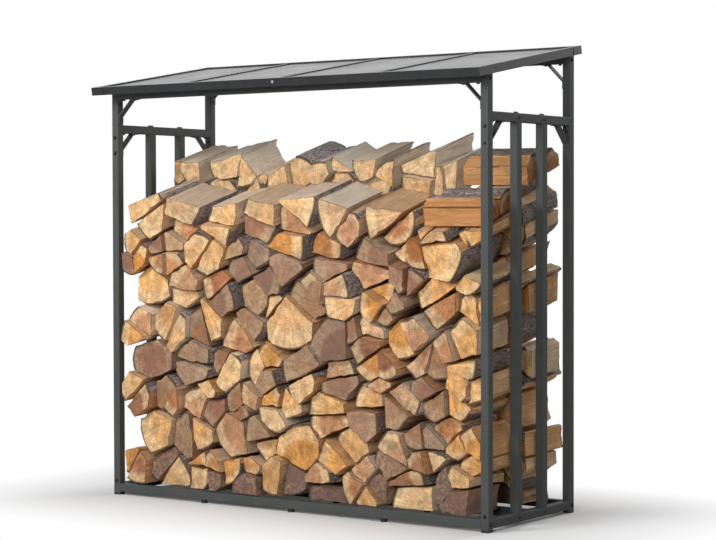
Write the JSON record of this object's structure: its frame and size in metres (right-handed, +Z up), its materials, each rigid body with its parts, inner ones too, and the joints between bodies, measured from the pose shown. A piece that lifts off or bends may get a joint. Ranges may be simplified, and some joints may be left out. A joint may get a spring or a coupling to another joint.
{
  "type": "log store stacked with firewood",
  "caption": "Open steel-tube log store with a lean-to sheet roof, slatted sides, corner braces and two stacked rows of split firewood.",
  "frame": {"origin": "on the ground, under the middle of the four posts, at the centre of the middle foot of the middle base beam", "axes": "+X along the width to the right side, +Y to the back where the roof is high, +Z up"},
  "size_m": [1.897, 0.7596, 1.8333],
  "materials": {
    "frame_steel": "anthracite powder coat, satin",
    "roof_steel": "anthracite coated sheet steel, semi-gloss",
    "foot_plastic": "black moulded plastic",
    "firewood": "split hardwood, rough, part weathered, bark on the round faces"
  },
  "bodies": {
    "root": {"post_front_left": "frame_steel", "post_front_right": "frame_steel", "post_back_left": "frame_steel", "post_back_right": "frame_steel", "post_feet": "foot_plastic", "base_front_beam": "frame_steel", "base_back_beam": "frame_steel", "base_middle_beam": "frame_steel", "base_left_beam": "frame_steel", "base_right_beam": "frame_steel", "base_feet": "foot_plastic", "left_rail": "frame_steel", "right_rail": "frame_steel", "left_slats": "frame_steel", "right_slats": "frame_steel", "roof_front_beam": "frame_steel", "roof_back_beam": "frame_steel", "roof_fascia": "roof_steel", "roof_back_edge": "roof_steel", "roof_left_rake": "roof_steel", "roof_right_rake": "roof_steel", "roof_corner_plates": "roof_steel", "roof_tray_1": "roof_steel", "roof_tray_2": "roof_steel", "roof_tray_3": "roof_steel", "roof_tray_4": "roof_steel", "front_braces": "frame_steel", "back_braces": "frame_steel", "left_braces": "frame_steel", "right_braces": "frame_steel", "firewood_front_1": "firewood", "firewood_front_2": "firewood", "firewood_front_3": "firewood", "firewood_front_4": "firewood", "firewood_back_1": "firewood", "firewood_back_2": "firewood", "firewood_back_3": "firewood", "firewood_back_4": "firewood"}
  },
  "joints": []
}
